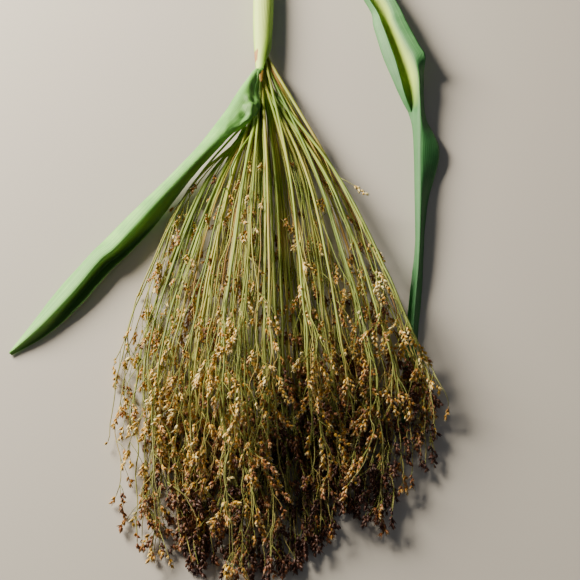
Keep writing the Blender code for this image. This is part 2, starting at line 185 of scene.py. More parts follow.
# Blade stations: five points across the leaf, from its left edge to its right edge.
FLAG_BLADE = (
    ((-10, -1, 12), (-8.5, -1.5, 17), (-5.5, -3, 21), (-3, -6.5, 21), (-2, -9, 19)),
    ((-19, -19, 15.5), (-15.5, -23.5, 22), (-10.5, -31, 25), (-6, -33.5, 24.5), (-4, -31.5, 21)),
    ((-30.5, -42, 14.5), (-27, -46.5, 20.5), (-21, -53, 24), (-15.5, -58, 23.5), (-14, -59, 19.5)),
    ((-45.5, -67.5, 12), (-42, -71.5, 18), (-36.5, -77.5, 22), (-32.5, -79.5, 20.5), (-32, -80.5, 17.5)),
    ((-62, -89.5, 9), (-59.5, -93.5, 15.5), (-54, -99.5, 19.5), (-50, -101, 17.5), (-49.5, -102, 13)),
    ((-82.5, -115, 6), (-79.5, -119, 13), (-74, -126, 17), (-69.5, -128, 13), (-69, -128, 6)),
    ((-105.5, -142, 3.5), (-101.5, -146, 11), (-94, -155.5, 15), (-91, -157, 5), (-87, -158, 5)),
    ((-124.5, -166.5, 2.5), (-120, -171.5, 10), (-112, -180.5, 14), (-112, -180, 2.5), (-105, -182, 5.5)),
    ((-134, -178, 2), (-131, -182, 9), (-123, -191, 12.5), (-123, -191, 2), (-115, -195, 6)),
    ((-153, -207, 1.8), (-150, -211, 7), (-142.5, -220, 10.5), (-142, -220, 2), (-134.5, -224, 5)),
    ((-171, -238, 1.4), (-169, -240, 4.5), (-165, -247, 7.5), (-161.5, -248, 2.5), (-158.5, -250, 2.5)),
    ((-186.5, -265, 1.2), (-186.3, -265.6, 1.8), (-186, -266.5, 2.4), (-185, -267, 1.6),
     (-184.5, -267.5, 1.2)),
)
LOWER_SHEATH = (
    (338, 7.2, 6.7, 6.7, 219, -123),
    (312, 7.2, 6.7, 6.7, 219, -123),
    (286, 7.2, 6.9, 6.8, 213, -117),
    (266, 7.3, 7.3, 7.2, 166, -70),
    (254, 7.6, 8.2, 8.2, 120, -24),
)
LOWER_BLADE = (
    ((10, 222, 22), (13, 224, 17.5), (19, 228, 15), (24, 233, 16), (27, 236, 18)),
    ((40, 184, 21), (41, 184, 14), (50, 190, 10), (57, 195, 15.5), (60, 197, 19)),
    ((73, 137, 18), (70, 138, 11), (80, 141, 8), (88, 147, 14), (94, 145, 17)),
    ((101, 79, 16), (97, 84, 9), (107, 87.5, 7), (113, 89, 13.5), (120.5, 88.5, 15.5)),
    ((108, 55, 16.5), (100.5, 60, 9), (112, 62.5, 7.5), (119.5, 58.5, 15), (130.5, 57, 16.5)),
    ((114.5, 26.5, 16), (106, 32, 8), (119.5, 32, 7), (127.5, 32, 16), (139.5, 29.5, 17.5)),
    ((117.5, 13.5, 15), (109.5, 17.5, 7), (123, 18, 6.5), (132.5, 18, 16.5), (143.5, 17, 17.5)),
    ((120.5, -3, 13), (114.5, 1, 6), (127, 1.5, 5), (136, -2.5, 16.5), (142, 2.5, 8)),
    ((125, -23.5, 9), (122, -21.5, 3.5), (130.5, -22, 3.5), (136, -26.5, 14), (141, -20.5, 4)),
    ((131.5, -43.5, 1.8), (129, -43, 1.8), (130.5, -45, 5.5), (135.5, -49.5, 12.5), (141.5, -45, 5)),
    ((132, -76.5, 1.5), (129.5, -77.5, 1.5), (129.5, -79, 6), (134.5, -81, 11.5), (150, -80.5, 6.5)),
    ((129.5, -125.5, 1.4), (127.2, -126.5, 1.4), (127, -127, 6), (131, -129, 10.5), (137.5, -127.5, 1.4)),
    ((123.4, -178, 1.2), (123.8, -178, 3), (124.2, -178.5, 5), (126.5, -180, 9), (130.5, -178, 1.2)),
    ((116.5, -220.5, 2.5), (118, -220.5, 1.6), (119.7, -220.5, 1.6), (121, -221, 7), (125.5, -221, 1.2)),
    ((111, -264, 2), (112.5, -264, 1.6), (114, -264.5, 2.5), (115.5, -265, 5.5), (119.5, -264, 1.2)),
    ((106, -304, 1.2), (107.5, -304.5, 2.5), (109, -305, 3.8), (111, -304.5, 2.8), (113, -304, 1.2)),
    ((104.6, -336, 1.2), (104.8, -336.5, 1.8), (105, -337, 2.2), (105.5, -336.5, 1.8), (106, -336, 1.2)),
)
# Strips where a leaf takes a second colour, which on the top leaf is painted shade: a deeper green on the side
# of its fold turned from the light and on its base by the collar. On the lower leaf it is the yellow of its
# other side. For
# each: the first and last station, the middle and half the width of that strip as shares across, and how
# strongly.
# Then how softly it ends across and along.
FLAG_PAINTED_SHADE_STRIPS = ((2.5, 12, 0.8, 0.3, 1), (-0.6, 3.0, 0.72, 0.42, 0.65))
LOWER_STRIPS = ((0, 8.5, 0.56, 0.2, 1),)
STRIP_EDGE = 0.15
STRIP_END = 1.5
LEAF_THICKNESS = 0.5 * MM
LEAF_LOWEST = 0.5 * MM
COLUMNS = 28
RINGS_PER_STATION = 8
# How many stations the collar lies before the first one of the blade.
COLLAR_BEFORE = 0.75
# The waves of a blade: how many in a millimetre and how high, the share of full height in the middle of the
# leaf, how fast they set in and die away, and the share of the blade where they have died away.
BROAD_WAVES = (0.035, 0.7)
FINE_WAVES = (0.11, 0.3)
FINE_WAVES_FROM = Vector((7, 3, 1))
FLAT_MIDDLE = 0.25
WAVES_SET_IN = 8
WAVES_END = 0.97
# The crumpled base of the top leaf, in stations, shares across and millimetres: where it is crumpled across
# and over how much, where it sags and is wrinkled, each with its reach to both sides and its depth, and the
# lobe that hangs out: where it starts and ends, and how far it hangs.
CRUMPLED_ACROSS = (0.34, 0.28)
SAGS = (0.6, 0.9)
SAG_DEPTH = 6
WRINKLES = (1.6, 1.6)
BROAD_WRINKLES = (0.12, 9)
BROAD_WRINKLES_FROM = Vector((2, 8, 5))
FINE_WRINKLES = (0.3, 2.5)
WRINKLES_SINK = 2
LOBE_STARTS = (0.7, 0.7)
LOBE_ENDS = 2.4
LOBE_ENDS_OVER = 0.5
LOBE_ASIDE = 6
LOBE_DOWN = -2

# The ligule in millimetres: its width and how much narrower it ends, where it starts and how long it is, how
# far its middle lies aside and slants, how frayed it is, and its height, rise and curve across.
LIGULE_THICKNESS = 0.25 * MM
LIGULE_WIDTH = 5.0
LIGULE_NARROWS = 2.8
LIGULE_START = 4
LIGULE_LENGTH = 18
LIGULE_MIDDLE = -0.9
LIGULE_SLANT = 0.5
LIGULE_FRAYS = 7
LIGULE_FRAY = 3
LIGULE_HEIGHT = 16.2
LIGULE_RISE = 3
LIGULE_RISES_FAST = 1.8
LIGULE_CURVE = 0.12

# The outline of the head: how far down its branches reach at each place across.
HEAD_REACH = (
    (-106, -330),
    (-102, -368),
    (-87, -400),
    (-66, -421),
    (-9, -432),
    (31, -419),
    (50, -400),
    (66, -376),
    (80, -399),
    (93, -405),
    (105, -392),
    (122, -352),
    (139, -326),
)
EDGE_TUFTS_FROM = 70 * MM
LOOSE_TUFTS_FROM = 74 * MM
# At the edges the stems keep inwards, but for this share of those on the right, which stray outwards by so
# much of their reach.
STRAYS = 0.3
STRAY_REACH = 0.3
# A dry stem wanders in kinks about this far apart, by about a third of this height, and in finer ones. They
# set in so fast past its straight share, and each stem has its own part of the noise.
KINKS_PER_METRE = 27
KINK_HEIGHT = 5.5 * MM
FINE_KINKS_PER_METRE = 62
FINE_KINK_HEIGHT = 2.4 * MM
KINKS_SET_IN = 1.6
NOISE_REACH = 50
# Only past so many points does a stem end at the outline of the head.
SHORTEST_STEM = 5

# The long branches: their straight share, their sides, their radii at the root in millimetres, those of the
# finer ones, their radius at the tip, and how dry they are: a beta distribution, its scale, and how much
# browner the lowest are, which is painted shade for lying under the others.
STRAIGHT_SHARE = 0.3
BRANCH_SIDES = 7
BRANCH_RADII = (1.0, 1.7)
FINE_RADII = (0.45, 0.75)
BRANCH_TIP = 0.3 * MM
DRY_SPREAD = (2, 3.6)
DRY_TONE = 0.92
BROWNER_BENEATH_SHADE = 0.4
# The stems beside a branch: the shares of it where they start, the share that they cover, and how far aside
# they end in millimetres, least, most and usual.
LONG_WIDE = ((0.1, 0.5), (0.3, 0.8), (14, 44, 22))
LONG_CLOSE = ((0.1, 0.5), (0.3, 0.8), (1, 12, 3))
SHORT_SPRAY = ((0.28, 0.72), (0.14, 0.32), (6, 30, 13))
FULL_BRANCH = (LONG_WIDE, LONG_CLOSE, SHORT_SPRAY, SHORT_SPRAY, SHORT_SPRAY)
LOOSE_BRANCH = (LONG_WIDE, LONG_WIDE, SHORT_SPRAY)
FINE_BRANCH = (SHORT_SPRAY, SHORT_SPRAY)
# Their points for the length of a whole branch and the fewest, their sides, radii and radius at the tip, how
# much their tones differ, and the palest and driest of these.
STEM_POINTS = 54
FEWEST_POINTS = 8
STEM_SIDES = 5
STEM_RADII = (0.32, 0.62)
STEM_TIP = 0.22 * MM
STEM_TONES = 0.2
STEM_TONE_LIMITS = (0.05, 0.95)
# How steeply they leave and how flat that is pressed, how far they bow and curl in millimetres, how often
# they curl aside and upwards and how flat, and how late they drift off and curl.
STEEPEST = 0.9
PRESSED = 0.6
BOW = 3
CURL = (1.0, 3.5)
ANY_PHASE = 6
CURLS_ASIDE = 9
CURLS_UPWARDS = 8
CURL_PRESSED = 0.7
DRIFTS_LATE = 1.15
CURLS_LATE = 1.6

# How close the racemes stand: at most, from which share of a branch on and over how much of it they grow
# denser and how fast, and how much thinner they stand again, from where on and over how much.
DENSITY = 0.63
DENSER = (0.12, 0.38)
DENSER_FAST = 0.95
THINNED = 0.1
THINNED_FROM = 0.7
THINNED_OVER = 0.3
FINE_CROWDING = 1.45
LOOSE_CROWDING = 0.55
# Racemes along a stem: the share that the first lies within, the steps between them, how many leave one
# place past a share of the branch and how flat they are pressed, how far the head has to reach ahead of them
# in millimetres, the counts of their spikelets and of those at a stem's end, and how much they differ in tone.
FIRST_RACEME = 0.3
RACEME_STEPS = (0.05, 0.12)
RACEMES_AT_ONCE = (1, 1, 2, 2, 3)
SINGLE_UNTIL = 0.3
RACEMES_PRESSED = 0.7
ROOM_AHEAD = 10
SPIKELET_COUNTS = (2, 3, 4, 4, 5, 6, 8)
END_COUNTS = (3, 4, 5)
RACEME_TONES = 0.08
# A raceme's stalk is as dry as a branch from its middle to its tip. It is shortened step by step where it
# would pass the outline of the head, which its spikelets may overhang.
RACEME_COVERS = (0.5, 1)
RACEME_STALK = (2, 26, 6)
END_STALK = (1, 4, 2)
SHORTEST_STALK = 1 * MM
SHORTER_STALK = 0.7
RACEME_OVERHANG = 9
# How far it turns aside, how much it bends and droops at each step, how much its stalk and its top straighten
# again, its radii, sides and tones, and how far the side that its spikelets lean to is turned up.
TURNS_ASIDE = (0.2, 1.0)
BENDS = 0.09
DROOPS = -0.05
STALK_STRAIGHTENS = 0.2
TOP_STRAIGHTENS = 0.15
STALK_RADII = (0.28 * MM, 0.18 * MM)
STALK_SIDES = 3
STALK_TONES = (0.2, 0.8)
TURNED_UP = 0.6

# The spikelets: the steps between them in millimetres, how far those with a grain and the empty ones lean
# out, the share of grains with an empty one beside them, their sizes, rolls and differences in tone.
SPIKELET_STEPS = (1.5, 2.5)
GRAIN_LEANS = (0.25, 0.8)
EMPTY_LEANS = (0.1, 0.6)
EMPTY_SHARE = 0.4
SPIKELET_SIZES = (0.66, 0.98)
ANY_ROLL = 6.3
SPIKELET_TONES = 0.1
SPIKELET_LENGTH = 4.4 * MM
# How far the tips of a spikelet reach past its length or its sides.
SPIKELET_TIPS = 2.3 * MM
LOWEST_SPIKELET = 0.2 * MM
SPIKELETS_PER_PIECE = 1900
# How brown they are: where they darken and over how far, towards the tips and to the right, where they stay
# paler on the left, the dark hollow and half its width, and what each of these adds. The darkening towards the
# tips is partly riper grain and partly painted shade; that to the right, in the hollow and beneath the top
# layers is painted shade, and the paler left has less of the shade beneath.
DARKER_DOWN = (230 * MM, 190 * MM)
DARKER_RIGHT = (20 * MM, 70 * MM)
PALER_LEFT = (40 * MM, 50 * MM)
DARK_HOLLOW = (14 * MM, 22 * MM)
YOUNG_TONE = 0.1
DOWN_TONE = 0.2
BENEATH_TONE = 0.8
BENEATH_TONE_LEFT = -0.45
BENEATH_FAST = 1.2
BENEATH_NEAR = 0.7
BENEATH_FAR = 0.3
RIGHT_TONE = 0.32
HOLLOW_TONE = 0.25
# A glume narrows towards its tip, which is drawn out, and both set in late.
NARROWED = 0.5
NARROWS_LATE = 1.5
DRAWN_OUT = 0.2
DRAWN_OUT_LATE = 4
# The bodies of a spikelet: material, sides, rings, half sizes, centre and tilt, in millimetres and radians.
# The open one shows its grain between two boat-shaped glumes, and the shut one's glumes lap over each other.
OPEN_SPIKELET = (
    (1, 5, 3, (1.25, 1.1, 1.6), (0, 0, 2.1), (0, 0, 0)),
    (0, 4, 4, (1.3, 0.5, 2.35), (0, 1.0, 2.3), (-0.34, 0, 0)),
    (0, 4, 3, (1.35, 0.55, 2.3), (0, -1.0, 2.2), (0.38, 0, 0)),
)
SHUT_SPIKELET = (
    (0, 4, 4, (1.3, 0.85, 2.25), (0, 0.35, 2.2), (-0.1, 0, 0)),
    (0, 4, 3, (1.2, 0.85, 2.1), (0, -0.45, 2.1), (0.2, 0, 0)),
)
EMPTY_SPIKELET = ((0, 4, 3, (0.6, 0.45, 2.3), (0, 0.2, 2.9), (-0.1, 0, 0)),)
# The bristle between the glumes: its height above the root, its radius, and its length and lean.
AWN_AT = 2.6
AWN_RADIUS = 0.14 * MM
OPEN_AWN = (2.6, 0.2)
SHUT_AWN = (2.2, -0.15)

FLOOR_SIZE = 12
# The camera: how many degrees it looks down, how far off it is and the place that it looks at in millimetres
# from the collar, and the width of its sensor, with its focal length and its picture's width in pixels.
CAMERA_DOWN = 60
CAMERA_DISTANCE = 780
CAMERA_AIM = (24.49, -210.23, 0)
SENSOR_WIDTH = 36
FOCAL_PIXELS = 1000
PICTURE_PIXELS = 580

stalk_low, stalk_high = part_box("stalk")
COLLAR = Matrix.Translation(((stalk_low.x + stalk_high.x) / 2, stalk_high.y - STALK_END, 0))


# Numbers


def clamp(value, low=0, high=1):
    """The value, kept between low and high."""
    return min(high, max(low, value))


def rising(value, start, over):
    """How far a value has come from a start, as a share from 0 to 1."""
    return clamp((value - start) / over)


def peak(value, middle, reach):
    """1 in the middle, and less to both sides down to 0."""
    return max(0, 1 - abs(value - middle) / reach)


# Nodes and colours


def srgb(code, alpha=1):
    """A hex colour as linear values."""
    channels = [int(code[i : i + 2], 16) / 255 for i in (1, 3, 5)]
    linear = [c / 12.92 if c <= 0.04045 else ((c + 0.055) / 1.055) ** 2.4 for c in channels]
    return (*linear, alpha)


def add(tree, kind, inputs=None, stops=None, **settings):
    """Adds a node, gives it its settings, and sets or links its inputs."""
    node = tree.nodes.new("ShaderNode" + kind)
    for key, value in settings.items():
        setattr(node, key, value)
    if stops:
        ramp = node.color_ramp
        while len(ramp.elements) < len(stops):
            ramp.elements.new(1)
        for element, (place, code) in zip(ramp.elements, stops):
            element.position = place
            element.color = srgb(code)
    for key, value in (inputs or {}).items():
        socket = node.inputs[key]
        if isinstance(value, bpy.types.NodeSocket):
            tree.links.new(value, socket)
        else:
            socket.default_value = value
    return node


def attribute(tree, name):
    """A number that the points of the mesh carry."""
    return add(tree, "Attribute", attribute_name=name).outputs["Fac"]


def object_place(tree):
    """The place on the finished object, in metres."""
    return add(tree, "TexCoord").outputs["Object"]


def result(tree, operation, *values):
    """The result of one step of arithmetic."""
    return add(tree, "Math", dict(enumerate(values)), operation=operation).outputs[0]


def mapped(tree, value, first, last, low=0, high=1, **settings):
    """A value between first and last as one between low and high, and kept there."""
    inputs = {"Value": value, "From Min": first, "From Max": last, "To Min": low, "To Max": high}
    return add(tree, "MapRange", inputs, **settings).outputs[0]


def speckles(tree, place, per_metre, detail, roughness=0.5):
    """Noise with so many patches in a metre: 500 make them 2 mm wide."""
    inputs = {"Vector": place, "Scale": per_metre, "Detail": detail, "Roughness": roughness}
    return add(tree, "TexNoise", inputs).outputs["Fac"]


def ribs(tree, per_metre):
    """Noise with a number of patches in a metre of its own for each axis, few along the plant."""
    drawn_out = add(tree, "Mapping", {"Vector": object_place(tree), "Scale": per_metre}).outputs[0]
    return speckles(tree, drawn_out, 1, 3)


def coloured(tree, value, *stops):
    """The colour that belongs to a value."""
    return add(tree, "ValToRGB", {"Fac": value}, stops=stops).outputs["Color"]


def mixed(tree, share, colour, other):
    """A colour that turns into another by a share."""
    inputs = {"Factor": share, "A": colour, "B": other}
    return add(tree, "Mix", inputs, data_type="RGBA").outputs["Result"]


def relief(tree, shader, height, strength, depth):
    """Fine relief of that depth in metres, which only the light shows."""
    bump = add(tree, "Bump", {"Height": height, "Strength": strength, "Distance": depth})
    tree.links.new(bump.outputs[0], shader.inputs["Normal"])


def plant_material(name):
    """A new material with its nodes and its shader."""
    material = bpy.data.materials.new(name)
    material.use_nodes = True
    tree = material.node_tree
    return material, tree, tree.nodes["Principled BSDF"]


def leaf_material(name, dark, middle, pale, to_tip, back_face_and_shade_colour):
    """Sorghum leaf: parallel veins about 0.8 mm apart under a waxy bloom that makes it matt and bluish. The
    sheath is cream over the midrib and green towards its edges, strips of the blade take a second colour,
    which is painted shade on the top leaf and the colour of its other side on the lower leaf, and the green
    deepens by to_tip towards the tip."""
    material, tree, shader = plant_material(name)
    place = object_place(tree)
    across, blade, back_face_and_painted_shade = (attribute(tree, kind) for kind in ("across", "blade", "back_face_and_painted_shade"))

    stretched = add(tree, "CombineXYZ", {"X": across, "Y": blade}).outputs[0]
    streaks = add(tree, "Mapping", {"Vector": stretched, "Scale": (46, 3, 1)}).outputs[0]
    streak = speckles(tree, streaks, 1, 3, 0.6)
    vein = result(tree, "SINE", result(tree, "MULTIPLY", across, 2 * math.pi * 34))
    bloom = speckles(tree, place, 70, 4, 0.6)
    blotch = speckles(tree, place, 14, 2)

    tint = result(tree, "MULTIPLY", streak, 0.6)
    tint = result(tree, "MULTIPLY_ADD", bloom, 0.35, tint)
    tint = result(tree, "MULTIPLY_ADD", blotch, 0.5, tint)
    tint = result(tree, "ADD", tint, mapped(tree, blade, 0.3, 0.8, 0, -to_tip))
    blade_colour = coloured(tree, tint, (0.45, dark), (0.72, middle), (0.95, pale))
    # Blend in the strips' second colour: painted shade on the top leaf, the other side's colour on the lower
    # leaf.
    blade_colour = mixed(tree, back_face_and_painted_shade, blade_colour, srgb(back_face_and_shade_colour))

    from_midrib = result(tree, "ABSOLUTE", result(tree, "SUBTRACT", across, 0.5))
    spread = result(tree, "MULTIPLY_ADD", streak, 0.22, from_midrib)
    sheath_colour = coloured(tree, spread, (0.2, "#E2FF86"), (0.33, "#B6E656"), (0.46, "#74A22A"))
    in_blade = mapped(tree, blade, -0.035, 0.03, interpolation_type="SMOOTHSTEP")
    colour = mixed(tree, in_blade, sheath_colour, blade_colour)

    # The left edge of the sheath is worn to a reddish brown just above the collar.
    from_mark = result(tree, "ABSOLUTE", result(tree, "ADD", blade, 0.125))
    above = mapped(tree, from_mark, 0.065, 0.03)
    beside = mapped(tree, across, 0.6, 0.42)
    worn = result(tree, "MULTIPLY", result(tree, "MULTIPLY", above, beside), streak)
    colour = mixed(tree, mapped(tree, worn, 0.25, 0.5), colour, srgb("#B0643C"))
    tree.links.new(colour, shader.inputs["Base Color"])

    tree.links.new(mapped(tree, bloom, 0, 1, 0.42, 0.62), shader.inputs["Roughness"])
    relief(tree, shader, result(tree, "MULTIPLY_ADD", vein, 0.5, streak), 0.4, 0.3 * MM)
    shader.inputs["IOR"].default_value = 1.45
    shader.inputs["Specular IOR Level"].default_value = 0.4
    return material


def ligule_material():
    """Ligule: a dry, thin brown membrane, ribbed along its length."""
    material, tree, shader = plant_material("sorghum ligule, dry membrane")
    rib = ribs(tree, (1500, 120, 1500))
    colour = coloured(tree, rib, (0.3, "#5E4A00"), (0.5, "#806000"), (0.7, "#AA8400"))
    tree.links.new(colour, shader.inputs["Base Color"])
    relief(tree, shader, rib, 0.5, 0.2 * MM)
    shader.inputs["Roughness"].default_value = 0.6
    return material


def culm_material():
    """Sorghum culm: a smooth waxy green rind with fine lengthwise ribs, brown at the node."""
    material, tree, shader = plant_material("sorghum culm rind, waxy")
    rib = ribs(tree, (900, 25, 900))
    colour = coloured(tree, rib, (0.3, "#8E9F55"), (0.55, "#B5BF78"), (0.8, "#D5D7A2"))
    colour = mixed(tree, attribute(tree, "tone"), colour, srgb("#9A7A3E"))
    tree.links.new(colour, shader.inputs["Base Color"])
    relief(tree, shader, rib, 0.3, 0.2 * MM)
    shader.inputs["Roughness"].default_value = 0.42
    return material


def pith_material():
    """Cut culm pith: cream and spongy, dotted with darker strands about 0.6 mm apart."""
    material, tree, shader = plant_material("sorghum pith, cut with a knife")
    place = object_place(tree)
    strands = add(tree, "TexVoronoi", {"Vector": place, "Scale": 1600}).outputs["Distance"]
    colour = coloured(tree, strands, (0.12, "#A9925E"), (0.3, "#DCD3A8"), (0.8, "#EEE8CC"))
    tree.links.new(colour, shader.inputs["Base Color"])
    relief(tree, shader, speckles(tree, place, 2500, 3), 0.6, 0.3 * MM)
    shader.inputs["Roughness"].default_value = 0.8
    return material


def branch_material():
    """Broomcorn branches: fresh yellow-green fibre, smooth and a little waxy, some turning tan with age, and
    the low ones browner, which is painted shade.
    """
    material, tree, shader = plant_material("broomcorn fibre, fresh")
    place = object_place(tree)
    age_and_shade = result(tree, "ADD", speckles(tree, place, 22, 3), -0.52)
    age_and_shade = result(tree, "MULTIPLY_ADD", attribute(tree, "tone"), 0.85, age_and_shade)
    fresh = ((0.05, "#5C8824"), (0.35, "#8EAC36"), (0.6, "#B6B84A"))
    colour = coloured(tree, age_and_shade, *fresh, (0.82, "#BA8C3E"), (0.98, "#8A562C"))
    dried = result(tree, "POWER", attribute(tree, "along"), 0.9)
    dried = result(tree, "MULTIPLY", dried, 0.8)
    colour = mixed(tree, dried, colour, srgb("#A09460"))
    tree.links.new(colour, shader.inputs["Base Color"])
    relief(tree, shader, speckles(tree, place, 500, 2), 0.25, 0.2 * MM)
    shader.inputs["Roughness"].default_value = 0.55
    shader.inputs["Specular IOR Level"].default_value = 0.3
    return material


def glume_material():
    """Glumes, the papery husks: golden tan with pale tips when young, maroon brown when ripe and where their
    tone carries painted shade.
    """
    material, tree, shader = plant_material("broomcorn glume, dry and papery")
    tone = attribute(tree, "tone")
    grain = speckles(tree, object_place(tree), 420, 3)
    age_and_shade = result(tree, "ADD", result(tree, "MULTIPLY_ADD", grain, 0.3, -0.15), tone)
    golden = ((0.02, "#F4E49A"), (0.2, "#E2B63A"), (0.42, "#BA8628"))
    colour = coloured(tree, age_and_shade, *golden, (0.62, "#8A5228"), (0.9, "#4C2C20"))
    tip = mapped(tree, attribute(tree, "along"), 0.55, 0.9)
    young_and_unshaded = mapped(tree, tone, 0.75, 0.3)
    colour = mixed(tree, result(tree, "MULTIPLY", tip, young_and_unshaded), colour, srgb("#F8F0C0"))
    tree.links.new(colour, shader.inputs["Base Color"])
    relief(tree, shader, grain, 0.4, 0.15 * MM)
    shader.inputs["Roughness"].default_value = 0.5
    return material


def caryopsis_material():
    """The seed itself: a hard, smooth orange-brown grain."""
    material, tree, shader = plant_material("broomcorn caryopsis, hard and smooth")
    colour = coloured(tree, attribute(tree, "tone"), (0.1, "#EBAE34"), (0.45, "#B06A20"), (0.85, "#4A241C"))
    tree.links.new(colour, shader.inputs["Base Color"])
    shader.inputs["Roughness"].default_value = 0.3
    return material


# Mesh helpers


def finished(name, bm, materials, replaced):
    """Makes the mesh a piece at its place in the frame that rides on the plant."""
    bm.transform(COLLAR)
    mesh = bpy.data.meshes.new(name)
    bm.to_mesh(mesh)
    bm.free()
    for material in materials:
        mesh.materials.append(material)
    mesh.shade_smooth()
    obj = bpy.data.objects.new(name, mesh)
    bpy.context.scene.collection.objects.link(obj)
    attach(obj, "root")
    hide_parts(replaced)
    return obj


def joined(shapes):
    """One mesh of many small ones, which keep their attributes."""
    whole = bmesh.new()
    for shape in shapes:
        mesh = bpy.data.meshes.new("shape")
        shape.to_mesh(mesh)
        shape.free()
        whole.from_mesh(mesh)
        bpy.data.meshes.remove(mesh)
    return whole


def smooth_path(points, count):
    """Count points, evenly spread over the knots, on the Catmull-Rom curve through the given points."""
    knots = [points[0] * 2 - points[1], *points, points[-1] * 2 - points[-2]]
    path = []
    for index in range(count):
        place = index / (count - 1) * (len(points) - 1)
        span = min(int(place), len(points) - 2)
        t = place - span
        a, b, c, d = knots[span : span + 4]
        path.append(
            0.5 * (2 * b + (c - a) * t + (2 * a - 5 * b + 4 * c - d) * t**2 + (3 * b - a - 3 * c + d) * t**3)
        )
    return path


def at(path, share):
    """The point at that share of a path's points, and the direction there."""
    place = share * (len(path) - 1)
    index = max(0, min(int(place), len(path) - 2))
    step = path[index + 1] - path[index]
    return path[index] + step * (place - index), step.normalized()


def new_shape():
    """A mesh without points, each of which will keep how far along its stem and its tone: its age, and on
    branches and spikelets painted shade as well.
    """
    bm = bmesh.new()
    for name in ("along", "tone"):
        bm.verts.layers.float.new(name)
    return bm


def tube(path, radii, sides, tones, covers=(0, 1)):
    """A closed tube along the path. A point's place along is given as a share of what the path covers."""
    bm = new_shape()
    along, tone = (bm.verts.layers.float[name] for name in ("along", "tone"))
    last = len(path) - 1
    previous = None
    for index, radius in enumerate(radii):
        ahead = path[min(index + 1, last)] - path[max(index - 1, 0)]
        turn = Vector((0, -1, 0)).rotation_difference(ahead.normalized()).to_matrix().to_4x4()
        matrix = Matrix.Translation(path[index]) @ turn @ Matrix.Rotation(math.pi / 2, 4, "X")
        ring = bmesh.ops.create_circle(
            bm, cap_ends=index in (0, last), segments=sides, radius=radius, matrix=matrix
        )["verts"]
        for vert in ring:
            vert[along] = covers[0] + (covers[1] - covers[0]) * index / last
            vert[tone] = tones[index] if isinstance(tones, (list, tuple)) else tones
        edges = list(dict.fromkeys(edge for vert in ring for edge in vert.link_edges))
        if previous:
            bmesh.ops.bridge_loops(bm, edges=previous + edges)
        previous = edges
    bmesh.ops.recalc_face_normals(bm, faces=bm.faces)
    return bm


# The stalk and the leaves


def culm():
    """The culm with its node, its cut face of pith, and the pressed flat it rests on."""
    profile = smooth_path([Vector((along, radius * MM)) for along, radius in CULM_PROFILE], CULM_RINGS)
    path = []
    tones = []
    for along, _ in profile:
        rise = STALK_RISE * max(0, (NODE_AT - along) / (NODE_AT - STALK_TOP))
        path.append(Vector((0, along, STALK_HEIGHT + rise)))
        tones.append(peak(along, NODE_AT, NODE_TONE_OVER) * NODE_TONE)
    bm = tube(path, [radius for _, radius in profile], CULM_SIDES, tones)
    end = next(face for face in bm.faces if len(face.verts) > 4 and face.normal.y > 0.9)
    bmesh.ops.inset_region(bm, faces=[end], thickness=RIND_THICKNESS, depth=-PITH_SUNK)
    end.material_index = 1
    whole = [*bm.verts, *bm.edges, *bm.faces]
    cut = bmesh.ops.bisect_plane(
        bm, geom=whole, plane_co=(0, 0, 0), plane_no=(0, 0, -1), clear_outer=True
    )
    rim = [edge for edge in cut["geom_cut"] if isinstance(edge, bmesh.types.BMEdge)]
    bmesh.ops.contextual_create(bm, geom=rim)
    bmesh.ops.recalc_face_normals(bm, faces=bm.faces)
    for edge in bm.edges:
        edge.smooth = edge.calc_face_angle(0) < math.radians(SHARPER_THAN)
    return finished("culm", bm, [culm_material(), pith_material()], "stalk")


def sheath_section(ring):
    """Points across a leaf where it wraps the stalk, from its left edge to its right edge."""
    along, height, half_width, half_height, left, right = ring
    points = []
    for index in range(COLUMNS + 1):
        angle = math.radians(left + (right - left) * index / COLUMNS)
        points.append(Vector((half_width * math.cos(angle), along, height + half_height * math.sin(angle))))
    return points


def crumple(place, across, station):
    """How the right half of a blade's base sags, crumples and hangs out, where the leaf is bent back."""
    right = rising(across, *CRUMPLED_ACROSS)
    sag = peak(station, *SAGS) * SAG_DEPTH
    wrinkled = peak(station, *WRINKLES)
    broad = abs(noise.noise(place * BROAD_WRINKLES[0] + BROAD_WRINKLES_FROM)) * BROAD_WRINKLES[1]
    fine = noise.noise(place * FINE_WRINKLES[0]) * FINE_WRINKLES[1]
    wrinkle = broad + fine - WRINKLES_SINK
    lobe = rising(station, *LOBE_STARTS) * clamp((LOBE_ENDS - station) / LOBE_ENDS_OVER)
    return right * Vector((LOBE_ASIDE * lobe * across, LOBE_DOWN * lobe * across, wrinkle * wrinkled - sag))


def strip_share(strip, across, station):
    """How much a leaf shows of the strip's colour there."""
    first, last, middle, half_width, strength = strip
    beside = clamp((half_width - abs(across - middle)) / STRIP_EDGE)
    starting = clamp((station - first) / STRIP_END)
    ending = clamp((last - station) / STRIP_END)
    return strength * beside * starting * ending


